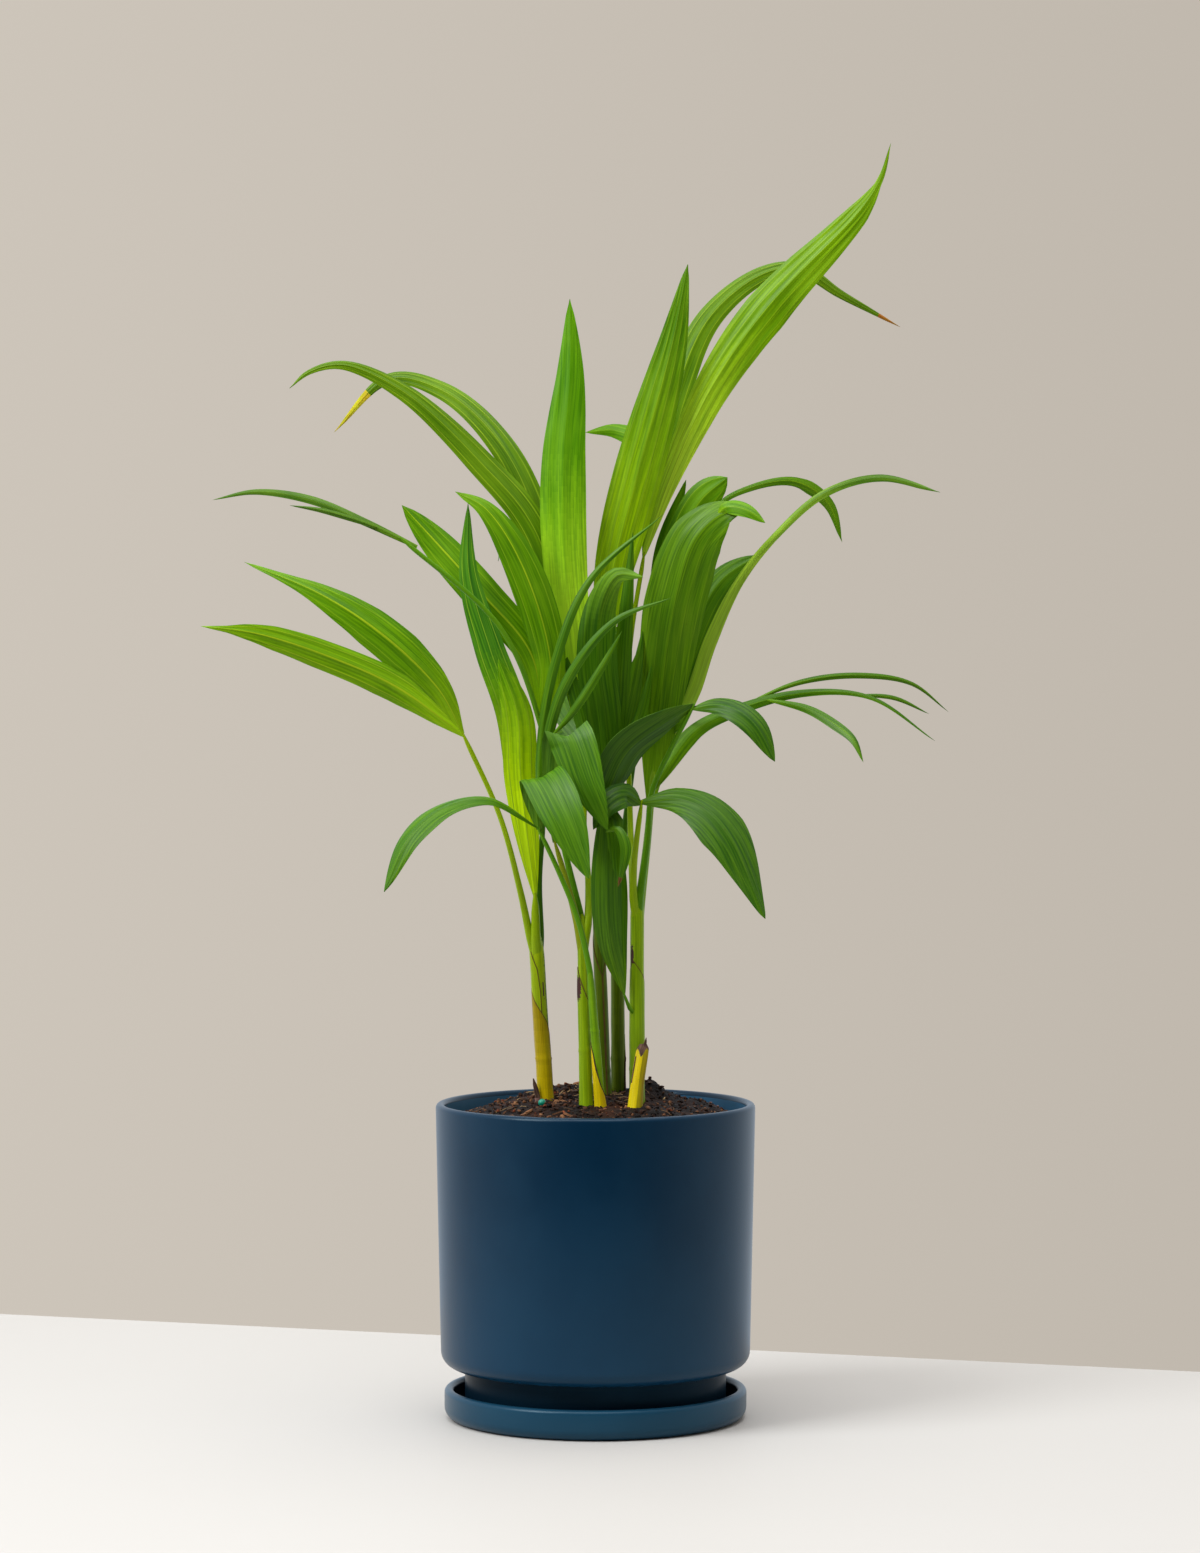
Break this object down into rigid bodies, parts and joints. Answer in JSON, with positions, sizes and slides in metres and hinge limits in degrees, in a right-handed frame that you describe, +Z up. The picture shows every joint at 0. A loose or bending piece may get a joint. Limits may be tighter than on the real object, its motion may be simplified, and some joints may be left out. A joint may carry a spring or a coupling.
{
  "type": "potted areca palm",
  "caption": "Young areca palm with arching fronds on slim canes, growing in a round glazed pot that stands on a shallow saucer.",
  "frame": {"origin": "centre of the saucer's flat underside, on the floor", "axes": "+Z up along the pot's axis, +X to the right of the plant's front view, +Y away from the viewer"},
  "size_m": [0.3266, 0.199, 0.563],
  "materials": {
    "saucer_glaze": "satin blue glaze",
    "pot_glaze": "satin blue glaze",
    "soil": "damp crumbly compost",
    "cane": "smooth living cane",
    "dry_sheath": "dry leaf sheath",
    "leaf_bright": "satin young leaf",
    "leaf": "satin leaf",
    "leaf_dark": "satin leaf"
  },
  "bodies": {
    "root": {"saucer": "saucer_glaze", "pot": "pot_glaze", "soil": "soil", "cane_left": "cane", "cane_centre_left": "cane", "cane_centre_front": "cane", "cane_centre_back": "cane", "cane_rear": "cane", "cane_right": "cane", "old_sheath_right": "dry_sheath", "husk_left": "dry_sheath", "frond_left_long": "leaf_bright", "frond_left_spear": "leaf_bright", "frond_left_middle": "leaf", "frond_left_thin": "leaf_dark", "frond_front_left": "leaf_dark", "frond_front_centre": "leaf", "frond_spear": "leaf_bright", "frond_centre": "leaf_dark", "frond_top": "leaf_bright", "frond_top_right": "leaf_bright", "frond_right_centre": "leaf", "frond_right_back": "leaf_dark", "frond_right_low": "leaf_dark", "frond_right_front": "leaf_dark", "frond_right_drooping": "leaf_dark", "frond_back": "leaf", "frond_back_low": "leaf_dark"}
  },
  "joints": []
}
